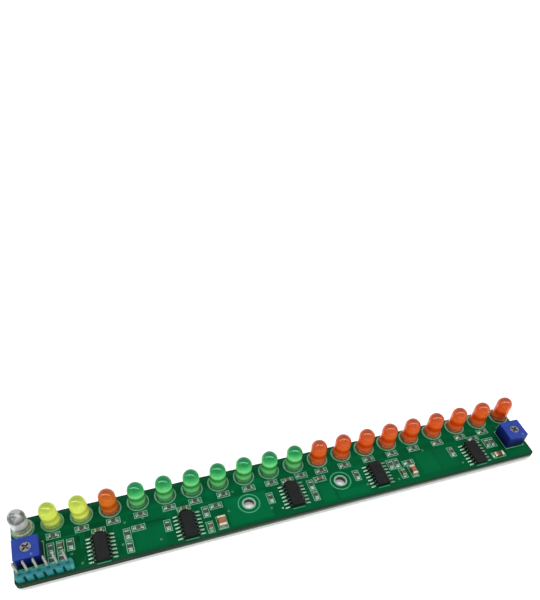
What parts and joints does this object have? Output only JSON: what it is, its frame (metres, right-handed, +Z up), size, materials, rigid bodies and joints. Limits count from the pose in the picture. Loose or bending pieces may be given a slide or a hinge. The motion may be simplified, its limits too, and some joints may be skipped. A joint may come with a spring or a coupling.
{
  "type": "audio level meter",
  "caption": "Long narrow circuit board with a row of round lamps, driver chips, chip parts, a turning trimmer at each end, a pin header and two mounting holes.",
  "frame": {"origin": "under the middle of the board, level with the lowest lead tips", "axes": "+X along the row of lamps from the header's end to the other end, +Y across the board towards the lamps, +Z up, the way the lamps point"},
  "size_m": [0.1646, 0.0212, 0.0119],
  "materials": {
    "board": "green solder mask over glass-fibre laminate",
    "tin": "tinned metal",
    "solder": "bright solder",
    "lead": "tinned wire",
    "pin": "plated pin",
    "lens_clear": "water-clear epoxy",
    "lens_yellow": "diffused yellow epoxy",
    "lens_amber": "diffused amber epoxy",
    "lens_green": "diffused green epoxy",
    "lens_red": "diffused red-orange epoxy",
    "chip_black": "black moulding compound",
    "trimmer_blue": "blue moulded plastic",
    "trimmer_base": "pale potting",
    "rotor": "plated rotor with a cross slot",
    "header_teal": "teal moulded plastic",
    "resistor_black": "dark glazed film on ceramic",
    "capacitor_tan": "tan ceramic",
    "capacitor_brown": "brown ceramic"
  },
  "bodies": {
    "board_assembly": {"circuit_board": "board", "mounting_hole_plating": "tin", "lamp_lens_01": "lens_clear", "lamp_lens_02": "lens_yellow", "lamp_lens_03": "lens_yellow", "lamp_lens_04": "lens_amber", "lamp_lens_05": "lens_green", "lamp_lens_06": "lens_green", "lamp_lens_07": "lens_green", "lamp_lens_08": "lens_green", "lamp_lens_09": "lens_green", "lamp_lens_10": "lens_green", "lamp_lens_11": "lens_green", "lamp_lens_12": "lens_red", "lamp_lens_13": "lens_red", "lamp_lens_14": "lens_red", "lamp_lens_15": "lens_red", "lamp_lens_16": "lens_red", "lamp_lens_17": "lens_red", "lamp_lens_18": "lens_red", "lamp_lens_19": "lens_red", "lamp_lens_20": "lens_red", "lamp_anode_leads": "lead", "lamp_cathode_leads": "lead", "chip_body_1": "chip_black", "chip_body_2": "chip_black", "chip_body_3": "chip_black", "chip_body_4": "chip_black", "chip_body_5": "chip_black", "chip_leads_1": "lead", "chip_leads_2": "lead", "chip_leads_3": "lead", "chip_leads_4": "lead", "chip_leads_5": "lead", "chip_solder": "solder", "left_trimmer_housing": "trimmer_blue", "left_trimmer_base": "trimmer_base", "left_trimmer_pins": "lead", "right_trimmer_housing": "trimmer_blue", "right_trimmer_base": "trimmer_base", "right_trimmer_pins": "lead", "header_strip": "header_teal", "header_pins": "pin", "resistor_bodies": "resistor_black", "resistor_ends": "tin", "capacitor_bodies": "capacitor_tan", "capacitor_ends": "tin", "bulk_capacitor_bodies": "capacitor_brown", "bulk_capacitor_ends": "tin", "chip_part_solder": "solder", "bulk_capacitor_solder": "solder", "lead_solder": "solder"},
    "left_rotor": {"left_trimmer_rotor": "rotor"},
    "right_rotor": {"right_trimmer_rotor": "rotor"}
  },
  "joints": [
    {"name": "left_trimmer_turn", "type": "hinge", "parent": "board_assembly", "child": "left_rotor", "pos_m": [-0.07775, -0.0019, 0.0065], "axis": [0, 0, 1], "range_deg": [-130, 130]},
    {"name": "right_trimmer_turn", "type": "hinge", "parent": "board_assembly", "child": "right_rotor", "pos_m": [0.07765, -0.00258, 0.0065], "axis": [0, 0, 1], "range_deg": [-130, 130]}
  ]
}
